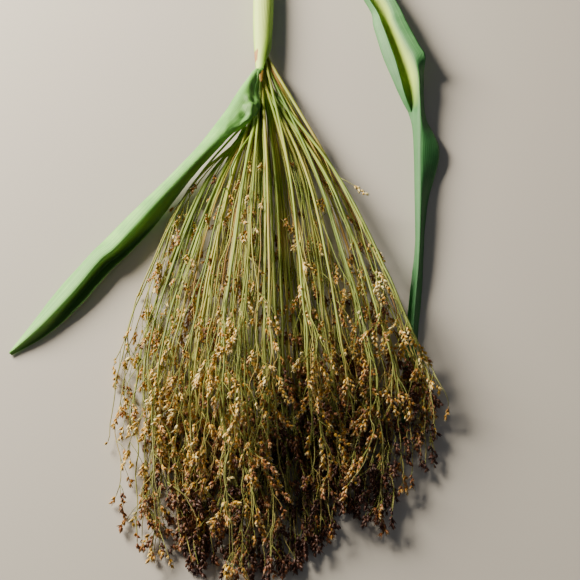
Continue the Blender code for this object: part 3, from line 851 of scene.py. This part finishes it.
def leaf(name, replaced, sheath, blade, strips, crumpled, material):
    """One leaf as a thin sheet: a sheath round the stalk that opens into a bent blade."""
    sections = [sheath_section(ring) for ring in sheath]
    sections += [smooth_path([Vector(point) for point in station], COLUMNS + 1) for station in blade]
    rows = (len(sections) - 1) * RINGS_PER_STATION + 1
    tracks = [smooth_path(list(track), rows) for track in zip(*sections)]
    bm = bmesh.new()
    across = bm.verts.layers.float.new("across")
    from_collar = bm.verts.layers.float.new("blade")
    # How much of the second colour a point takes: painted shade on the top leaf, the other side's colour on
    # the lower leaf.
    back_face_and_painted_shade = bm.verts.layers.float.new("back_face_and_painted_shade")
    grid = bmesh.ops.create_grid(bm, x_segments=COLUMNS, y_segments=rows - 1, size=1)["verts"]
    for vert in grid:
        column = round((vert.co.x + 1) / 2 * COLUMNS)
        row = round((vert.co.y + 1) / 2 * (rows - 1))
        vert.co = tracks[column][row]
        vert[across] = column / COLUMNS
        station = row / RINGS_PER_STATION - len(sheath)
        vert[from_collar] = (station + COLLAR_BEFORE) / len(blade)
        vert[back_face_and_painted_shade] = max(strip_share(strip, vert[across], station) for strip in strips)
    bm.normal_update()
    for vert in grid:
        share = vert[from_collar]
        if 0 < share < WAVES_END:
            edge = abs(vert[across] - 0.5) * 2
            broad = noise.noise(vert.co * BROAD_WAVES[0]) * BROAD_WAVES[1]
            fine = noise.noise(vert.co * FINE_WAVES[0] + FINE_WAVES_FROM) * FINE_WAVES[1]
            shift = (broad + fine) * min(1, share * WAVES_SET_IN) * (FLAT_MIDDLE + (1 - FLAT_MIDDLE) * edge**2)
            shift *= min(1, (WAVES_END - share) * WAVES_SET_IN)
            vert.co += vert.normal * shift
            vert.co += crumpled * crumple(vert.co, vert[across], share * len(blade) - COLLAR_BEFORE)
    for vert in grid:
        vert.co = vert.co * MM
        vert.co.z = max(vert.co.z, LEAF_LOWEST)
    obj = finished(name, bm, [material], replaced)
    thickness = obj.modifiers.new("thickness", "SOLIDIFY")
    thickness.thickness = LEAF_THICKNESS
    thickness.offset = 0
    thickness.use_even_offset = True
    return obj


def ligule():
    """The membrane at the mouth of the sheath, which lies frayed on the stems below the collar."""
    bm = bmesh.new()
    for vert in bmesh.ops.create_grid(bm, x_segments=8, y_segments=12, size=0.5)["verts"]:
        across, down = vert.co.x, 0.5 - vert.co.y
        fray = noise.noise(Vector((across * LIGULE_FRAYS, 0, 3))) * LIGULE_FRAY * down
        aside = across * (LIGULE_WIDTH - LIGULE_NARROWS * down)
        height = LIGULE_HEIGHT + LIGULE_RISE * min(1, LIGULE_RISES_FAST * down) - LIGULE_CURVE * aside**2
        middle = aside + LIGULE_MIDDLE + LIGULE_SLANT * down
        vert.co = Vector((middle, LIGULE_START - LIGULE_LENGTH * down - fray, height)) * MM
    obj = finished("ligule", bm, [ligule_material()], "flag_leaf")
    thickness = obj.modifiers.new("thickness", "SOLIDIFY")
    thickness.thickness = LIGULE_THICKNESS
    thickness.offset = 0


# The head


def axis_point(along):
    """A point of the head's axis, which rises a little as it leaves the stalk."""
    rise = AXIS_RISE * (STALK_TOP - along) / STALK_TOP
    return Vector((0, along, min(AXIS_HEIGHT + rise, AXIS_HIGHEST)))


def over_lower_leaf(point):
    """How high a branch has to be at that place to pass over the end of the lower leaf."""
    if point.y > LEAF_END_FROM:
        return 0
    beyond = point.y - LEAF_END_Y
    aside = abs(point.x - LEAF_END_X - beyond * LEAF_END_SLANT) / LEAF_END_HALF_WIDTH
    return LEAF_END_HEIGHT + beyond * LEAF_END_RISE + (1 - aside) * LEAF_END_CROWN if aside < 1 else 0


def branch_path(tuft, layer, draw):
    """The centre line of one long branch. Layer runs from 0, on the surface, to 1, on top."""
    shoulder_x, (belly_x, belly_y), (tip_x, tip_y), lift, _ = tuft
    aside = draw.uniform(-1, 1)
    belly = Vector((belly_x + BELLY_SPREAD * aside, belly_y, LOWEST_BELLY + layer * lift)) * MM
    tip = Vector((tip_x + TIP_SPREAD * aside, tip_y, LOWEST_TIP + lift * TIP_LIFT * layer**2)) * MM
    tip.y = belly.y + (tip.y - belly.y) * (1 - (SHORTENED + SHORTENED_ON_TOP * layer) * draw.random())
    roots = (FARTHEST_ROOT, ROOT_IN_SHEATH if shoulder_x > LEFTMOST_IN_SHEATH else ROOT_PAST_SHEATH)
    if shoulder_x > RIGHT_TUFTS_FROM:
        roots = RIGHT_ROOTS
    axis = axis_point(draw.uniform(*roots) * MM)
    shoulder_z = axis.z * SHOULDER_FROM_AXIS + belly.z * SHOULDER_FROM_BELLY
    shoulder = Vector(((shoulder_x + SHOULDER_SPREAD * aside) * MM, SHOULDER_AT, shoulder_z))
    if shoulder_x < RIGHTMOST_UNDER_BLADE:
        shoulder.z = min(shoulder.z, UNDER_BLADE)
    outwards = Vector((shoulder.x * ROOT_FACES_ASIDE, 0, shoulder.z - axis.z)).normalized()
    root = axis + outwards * ROOT_SINK
    droop = belly.lerp(tip, DROOP_AT) + Vector((belly.x * DROOP_ASIDE, 0, -DROOP_DOWN * belly.z))
    path = smooth_path([root, shoulder, belly, droop, tip], BRANCH_POINTS)
    for point in path:
        point.z = max(point.z, over_lower_leaf(point), LOWEST_BRANCH)
    return path


def branch_paths():
    """The centre lines of all the long branches, tuft by tuft, each with its layer."""
    draw = random.Random(SEED)
    paths = []
    for index, tuft in enumerate(TUFTS):
        count = tuft[-1]
        for number in range(count):
            layer = (number + draw.uniform(*WITHIN_LAYER)) / count * (SUNKEN if index == SUNKEN_TUFT else 1)
            paths.append((branch_path(tuft, layer, draw), layer))
    return paths


def low_paths(draw):
    """The centre lines of the finer branches that lie low between the tufts, each with its layer."""
    paths = []
    for left, right in zip(TUFTS, TUFTS[1:]):
        shoulder_x, lift = (left[0] + right[0]) / 2, (left[3] + right[3]) / 2
        belly, tip = (tuple((a + b) / 2 for a, b in zip(left[part], right[part])) for part in (1, 2))
        for _ in range(1 if belly[0] * MM < -EDGE_TUFTS_FROM else LOW_BRANCHES):
            layer = draw.uniform(0, HIGHEST_LOW)
            paths.append((branch_path((shoulder_x, belly, tip, lift, 1), layer, draw), layer))
    return paths


def kept_clear(point):
    """Keeps a stem off the floor, within the head's height, over the lower leaf and under the top leaf."""
    point.z = min(max(point.z, over_lower_leaf(point), LOWEST_BRANCH), HIGHEST_STEM)
    if point.x < BLADE_REACHES_X and BLADE_REACHES_Y[0] < point.y < BLADE_REACHES_Y[1]:
        point.z = min(point.z, UNDER_BLADE)
    return point


def beyond_reach(point, overhang=0):
    """Whether a place lies past the outline of the head, let down by an overhang in millimetres."""
    aside, along = point.x / MM, point.y / MM
    for (left, left_reach), (right, right_reach) in zip(HEAD_REACH, HEAD_REACH[1:]):
        if left <= aside < right:
            reach = left_reach + (right_reach - left_reach) * (aside - left) / (right - left)
            return along < reach - overhang
    return True


def kinked(path, straight, draw):
    """Gives a stem the kinks of a dry one past its straight share, and ends it at the head's outline."""
    shift = Vector([draw.uniform(-NOISE_REACH, NOISE_REACH) for _ in range(3)])
    last = len(path) - 1
    bent = []
    for index, point in enumerate(path):
        share = min(1, max(0, (index / last - straight) / (1 - straight)) * KINKS_SET_IN)
        bend = noise.noise_vector(point * KINKS_PER_METRE + shift) * KINK_HEIGHT
        curl = noise.noise_vector(point * FINE_KINKS_PER_METRE - shift) * FINE_KINK_HEIGHT
        bent.append(kept_clear(point + (bend + curl) * share))
        if index > SHORTEST_STEM and beyond_reach(bent[-1]):
            break
    return bent


def strand(branch, start, end, reach, draw):
    """A long branchlet that leaves its branch and runs beside it, drifting away and curling at its end."""
    count = max(FEWEST_POINTS, round((end - start) * STEM_POINTS))
    angle = draw.uniform(-STEEPEST, STEEPEST)
    hand = draw.choice((-1, 1))
    middle = branch[len(branch) // 2].x
    if abs(middle) > EDGE_TUFTS_FROM:
        hand = -math.copysign(1, middle)
        if middle > 0 and draw.random() < STRAYS:
            hand *= -STRAY_REACH
    elif abs(middle - HOLLOW_AT) < HOLLOW_WIDTH:
        hand = math.copysign(1, middle - HOLLOW_AT)
    aside = Vector((hand * math.cos(angle), 0, math.sin(angle) * PRESSED))
    curl = draw.uniform(*CURL) * MM
    bow = draw.uniform(-BOW, BOW) * MM
    phase = draw.uniform(0, ANY_PHASE)
    path = []
    for index in range(count):
        t = index / (count - 1)
        point, _ = at(branch, start + (end - start) * t)
        upwards = math.cos(phase * 2 + t * CURLS_UPWARDS) * CURL_PRESSED
        wander = Vector((math.sin(phase + t * CURLS_ASIDE), 0, upwards))
        bowed = Vector((math.sin(math.pi * t) * bow, 0, 0))
        path.append(point + aside * reach * t**DRIFTS_LATE + wander * curl * t**CURLS_LATE + bowed)
    return kinked(path, 0, draw)


def taper(count, thick, thin, power=0.8):
    """Radii that go from thick to thin along a path."""
    return [thick + (thin - thick) * (index / (count - 1)) ** power for index in range(count)]


def facing(direction, roll):
    """Turns a template that stands on +Z to point that way, rolled about itself."""
    return direction.to_track_quat("Z", "Y").to_matrix().to_4x4() @ Matrix.Rotation(roll, 4, "Z")


def raceme(root, ahead, side, stalk, spikelets, tone, draw):
    """A thin curved stalk, and the places of its spikelets: those with grains and the empty ones."""
    direction = (ahead + side * draw.uniform(*TURNS_ASIDE)).normalized()
    turn = Vector((draw.gauss(0, BENDS), 0, DROOPS))
    length = draw.triangular(*stalk) * MM
    while length > SHORTEST_STALK and beyond_reach(root + direction * length):
        length *= SHORTER_STALK
    points = [root]
    for _ in range(2):
        points.append(kept_clear(points[-1] + direction * length / 2))
        direction = (direction + ahead * STALK_STRAIGHTENS + turn).normalized()
    grains = []
    empty = []
    across = direction.cross(Vector((draw.uniform(-1, 1), draw.uniform(-1, 1), TURNED_UP))).normalized()
    for number in range(spikelets):
        here = points[-1]
        if number and beyond_reach(here, RACEME_OVERHANG):
            break
        hand = -1 if number % 2 else 1
        lean = (direction + across * hand * draw.uniform(*GRAIN_LEANS)).normalized()
        own_tone = clamp(tone + draw.gauss(0, SPIKELET_TONES))
        size = Matrix.Scale(draw.uniform(*SPIKELET_SIZES), 4)
        grains.append((off_floor(here, lean) @ facing(lean, draw.uniform(0, ANY_ROLL)) @ size, own_tone))
        if draw.random() < EMPTY_SHARE:
            lean = (direction - across * hand * draw.uniform(*EMPTY_LEANS)).normalized()
            empty.append((off_floor(here, lean) @ facing(lean, draw.uniform(0, ANY_ROLL)) @ size, own_tone))
        direction = (direction + ahead * TOP_STRAIGHTENS + turn).normalized()
        points.append(kept_clear(here + direction * draw.uniform(*SPIKELET_STEPS) * MM))
    radii = taper(len(points), *STALK_RADII)
    shape = tube(points, radii, STALK_SIDES, draw.uniform(*STALK_TONES), RACEME_COVERS)
    return shape, grains, empty


def off_floor(place, lean):
    """The place of a spikelet, lifted where it would lean down into the floor."""
    lowest = place.z + min(0, lean.z) * SPIKELET_LENGTH - SPIKELET_TIPS
    return Matrix.Translation(place + Vector((0, 0, max(0, LOWEST_SPIKELET - lowest))))


def ripeness_and_painted_shade(point, layer):
    """How brown the spikelets are: golden near the stalk and on top, maroon at the tips, which is partly riper
    grain and partly painted shade, and maroon beneath, to the right and in the hollow, which is painted shade.
    """
    far = rising(-point.y, *DARKER_DOWN)
    right = rising(point.x, *DARKER_RIGHT)
    hollow = peak(point.x, *DARK_HOLLOW)
    left = rising(-point.x, *PALER_LEFT)
    # Painted shade under the upper layers, less of it on the left.
    beneath = (BENEATH_TONE + BENEATH_TONE_LEFT * left) * (1 - layer) ** BENEATH_FAST
    beneath *= BENEATH_NEAR + BENEATH_FAR * far
    tone = YOUNG_TONE + DOWN_TONE * far + beneath
    # Painted shade on the right, turned from the light, and in the hollow between the two groups.
    return tone + (RIGHT_TONE * right + HOLLOW_TONE * hollow) * far


def lens(sides, rings, size, centre, tilt):
    """A small closed pointed body, such as a glume, set at its place in a spikelet."""
    bm = new_shape()
    bmesh.ops.create_uvsphere(bm, u_segments=sides, v_segments=rings, radius=1)
    for vert in bm.verts:
        narrowing = 1 - NARROWED * max(0, vert.co.z) ** NARROWS_LATE
        vert.co.x *= narrowing
        vert.co.y *= narrowing
        vert.co.z += DRAWN_OUT * max(0, vert.co.z) ** DRAWN_OUT_LATE
    bmesh.ops.scale(bm, vec=Vector(size) * MM, verts=bm.verts)
    bmesh.ops.rotate(bm, cent=(0, 0, 0), matrix=Euler(tilt).to_matrix(), verts=bm.verts)
    bmesh.ops.translate(bm, vec=Vector(centre) * MM, verts=bm.verts)
    return bm


def awn(reach, lean):
    """The bristle that stands out between the glumes."""
    bm = new_shape()
    bmesh.ops.create_cone(bm, cap_ends=True, segments=3, radius1=AWN_RADIUS, radius2=0, depth=reach * MM)
    bmesh.ops.translate(bm, vec=(0, 0, (AWN_AT + reach / 2) * MM), verts=bm.verts)
    turn = Euler((lean, lean, 0)).to_matrix()
    bmesh.ops.rotate(bm, cent=(0, 0, AWN_AT * MM), matrix=turn, verts=bm.verts)
    return bm


def spikelet_template(name, bodies, bristle=None):
    """A template mesh that stands on +Z, with how far up it each point is."""
    shapes = []
    for material_index, *body in bodies:
        shape = lens(*body)
        for face in shape.faces:
            face.material_index = material_index
        shapes.append(shape)
    if bristle:
        shapes.append(awn(*bristle))
    bm = joined(shapes)
    along = bm.verts.layers.float["along"]
    for vert in bm.verts:
        vert[along] = vert.co.z / SPIKELET_LENGTH
    mesh = bpy.data.meshes.new(name)
    bm.to_mesh(mesh)
    bm.free()
    return mesh


def scattered(name, template, places, materials):
    """Copies of the template at all the places, each with its own tone, in pieces of a fair size."""
    for part, first in enumerate(range(0, len(places), SPIKELETS_PER_PIECE)):
        whole = bmesh.new()
        for matrix, tone in places[first : first + SPIKELETS_PER_PIECE]:
            copy = template.copy()
            copy.transform(matrix)
            copy.attributes["tone"].data.foreach_set("value", [tone] * len(copy.vertices))
            whole.from_mesh(copy)
            bpy.data.meshes.remove(copy)
        finished(f"{name}_{part + 1}", whole, materials, "head")
    bpy.data.meshes.remove(template)


def spikelet_density(share):
    """How close the racemes stand at that share of a branch: none near the stalk, most past the middle."""
    thinned = max(0, (share - THINNED_FROM) / THINNED_OVER)
    return DENSITY * rising(share, *DENSER) ** DENSER_FAST - THINNED * thinned


def strands_beside(branch, kinds, tone, draw):
    """The stems that run beside a branch: each one's shape, its path and the shares that it covers."""
    strands = []
    for starts, covers, reaches in kinds:
        start = draw.uniform(*starts)
        end = min(1.0, start + draw.uniform(*covers))
        path = strand(branch, start, end, draw.triangular(*reaches) * MM, draw)
        own_tone = clamp(tone + draw.gauss(0, STEM_TONES), *STEM_TONE_LIMITS)
        radii = taper(len(path), draw.uniform(*STEM_RADII) * MM, STEM_TIP)
        shape = tube(path, radii, STEM_SIDES, own_tone, (start, end))
        strands.append((shape, path, start, end))
    return strands


def racemes_along(path, start, end, layer, crowding, draw):
    """The racemes on a stem that covers those shares of its branch."""
    racemes = []
    place = start + draw.random() * FIRST_RACEME * (end - start)
    while place < end:
        root, ahead = at(path, (place - start) / (end - start))
        taken = draw.random() < spikelet_density(place) * crowding
        if taken and not beyond_reach(root + ahead * ROOM_AHEAD * MM):
            tone = ripeness_and_painted_shade(root, layer) + draw.gauss(0, RACEME_TONES)
            for _ in range(draw.choice(RACEMES_AT_ONCE) if place > SINGLE_UNTIL else 1):
                angle = draw.uniform(0, 2 * math.pi)
                side = Vector((math.cos(angle), 0, math.sin(angle) * RACEMES_PRESSED))
                if abs(root.x) > EDGE_TUFTS_FROM:
                    side.x = -math.copysign(abs(side.x), root.x)
                spikelets = draw.choice(SPIKELET_COUNTS)
                racemes.append(raceme(root, ahead, side, RACEME_STALK, spikelets, tone, draw))
        place += draw.uniform(*RACEME_STEPS)
    root, ahead = path[-1], (path[-1] - path[-2]).normalized()
    tone = ripeness_and_painted_shade(root, layer) + draw.gauss(0, RACEME_TONES)
    spikelets = draw.choice(END_COUNTS)
    racemes.append(raceme(root, ahead, Vector((0, 0, 0)), END_STALK, spikelets, tone, draw))
    return racemes


def head():
    """The axis, the long branches, the branchlets that run beside them, and the racemes of spikelets."""
    draw = random.Random(SEED)
    # Vector noise takes its offsets from the clock unless they are seeded, and the kinks come from it.
    noise.seed_set(SEED)
    fibre = branch_material()
    axis = [axis_point(along) for along in AXIS_POINTS]
    thick = [tube(axis, taper(len(axis), *AXIS_TAPER), AXIS_SIDES, AXIS_TONE)]
    branchlets = []
    racemes = []
    fine_branches = [(path, layer, True) for path, layer in low_paths(draw)]
    branches = [(path, layer, False) for path, layer in branch_paths()]
    for branch, layer, fine in branches + fine_branches:
        branch = kinked(branch, STRAIGHT_SHARE, draw)
        # Branches that lie low are made browner, as painted shade under those on top.
        tone = DRY_TONE * draw.betavariate(*DRY_SPREAD) + BROWNER_BENEATH_SHADE * (1 - layer) ** 2
        radius = draw.uniform(*(FINE_RADII if fine else BRANCH_RADII)) * MM
        thick.append(tube(branch, taper(len(branch), radius, BRANCH_TIP), BRANCH_SIDES, tone))
        loose = branch[len(branch) // 2].x < -LOOSE_TUFTS_FROM
        crowding = FINE_CROWDING if fine else LOOSE_CROWDING if loose else 1
        racemes += racemes_along(branch, 0, 1, layer, crowding, draw)
        kinds = FINE_BRANCH if fine else LOOSE_BRANCH if loose else FULL_BRANCH
        for shape, path, start, end in strands_beside(branch, kinds, tone, draw):
            branchlets.append(shape)
            racemes += racemes_along(path, start, end, layer, crowding, draw)
    shut = []
    opened = []
    for _, grains, _ in racemes:
        for grain in grains:
            draw.choice((shut, shut, opened)).append(grain)
    finished("long_branches", joined(thick), [fibre], "head")
    finished("branchlets", joined(branchlets), [fibre], "head")
    finished("raceme_stalks", joined([stalk for stalk, _, _ in racemes]), [fibre], "head")
    glume = glume_material()
    scattered("husked_grains", spikelet_template("shut", SHUT_SPIKELET, SHUT_AWN), shut, [glume])
    both = [glume, caryopsis_material()]
    scattered("open_husked_grains", spikelet_template("open", OPEN_SPIKELET, OPEN_AWN), opened, both)
    empty = [place for _, _, beside in racemes for place in beside]
    scattered("empty_spikelets", spikelet_template("empty", EMPTY_SPIKELET), empty, [glume])


# Floor, light and camera


def stage():
    """A plain pale floor."""
    bm = bmesh.new()
    bmesh.ops.create_grid(bm, x_segments=1, y_segments=1, size=FLOOR_SIZE)
    mesh = bpy.data.meshes.new("floor")
    bm.to_mesh(mesh)
    bm.free()
    floor = bpy.data.objects.new("floor", mesh)
    bpy.context.scene.collection.objects.link(floor)
    material, _, shader = plant_material("floor, matt paper")
    shader.inputs["Base Color"].default_value = srgb("#CFCAC2")
    shader.inputs["Roughness"].default_value = 0.9
    mesh.materials.append(material)


def soft_light(name, place, aim, size, power, colour):
    """A round light at a place, turned towards its aim."""
    data = bpy.data.lights.new(name, "AREA")
    data.shape = "DISK"
    data.size = size
    data.energy = power
    data.color = srgb(colour)[:3]
    light = bpy.data.objects.new(name, data)
    light.location = place
    light.rotation_euler = (Vector(aim) - Vector(place)).to_track_quat("-Z", "Y").to_euler()
    bpy.context.scene.collection.objects.link(light)


def lights():
    """One large soft light from the far left, a weak one from the near right, and an even sky."""
    soft_light("window", (-1.12, 0.75, 0.66), (0.0, -0.12, 0), 0.8, 92, "#FFF4E0")
    soft_light("fill", (0.9, -0.9, 1.0), (0, -0.1, 0), 1.2, 1.0, "#EAF0FF")
    world = bpy.data.worlds.new("studio")
    world.use_nodes = True
    sky = world.node_tree.nodes["Background"].inputs
    sky["Color"].default_value = srgb("#E9EAEC")
    sky["Strength"].default_value = 0.08
    bpy.context.scene.world = world


def camera():
    """Looks down along the stalk at 60 degrees from 0.78 m, which is what the plant's lines call for."""
    data = bpy.data.cameras.new("camera")
    data.sensor_width = SENSOR_WIDTH
    data.lens = SENSOR_WIDTH * FOCAL_PIXELS / PICTURE_PIXELS
    data.clip_start = 10 * MM
    obj = bpy.data.objects.new("camera", data)
    bpy.context.scene.collection.objects.link(obj)
    down = math.radians(CAMERA_DOWN)
    aim = COLLAR @ (Vector(CAMERA_AIM) * MM)
    obj.location = aim + Vector((0, -math.cos(down), math.sin(down))) * CAMERA_DISTANCE * MM
    obj.rotation_euler = (math.pi / 2 - down, 0, 0)
    bpy.context.scene.camera = obj


camera()
lights()
stage()
culm()
young_greens = ("#4E9640", "#78C45A", "#A8EC78")
# The top leaf's second colour, a deeper green, is painted shade.
young_green = leaf_material("sorghum flag leaf, fresh and waxy", *young_greens, 0, "#56803A")
# The lower leaf's greens are darker than the top leaf's: painted shade, for it lies farther from the light.
shaded_lower_greens = ("#34703C", "#508C52", "#7EB87A")
shaded_lower_green = leaf_material("sorghum lower leaf, fresh and waxy", *shaded_lower_greens, 0.28, "#D0F05E")
leaf("flag_leaf_blade", "flag_leaf", FLAG_SHEATH, FLAG_BLADE, FLAG_PAINTED_SHADE_STRIPS, 1, young_green)
leaf("lower_leaf_blade", "lower_leaf", LOWER_SHEATH, LOWER_BLADE, LOWER_STRIPS, 0, shaded_lower_green)
ligule()
head()
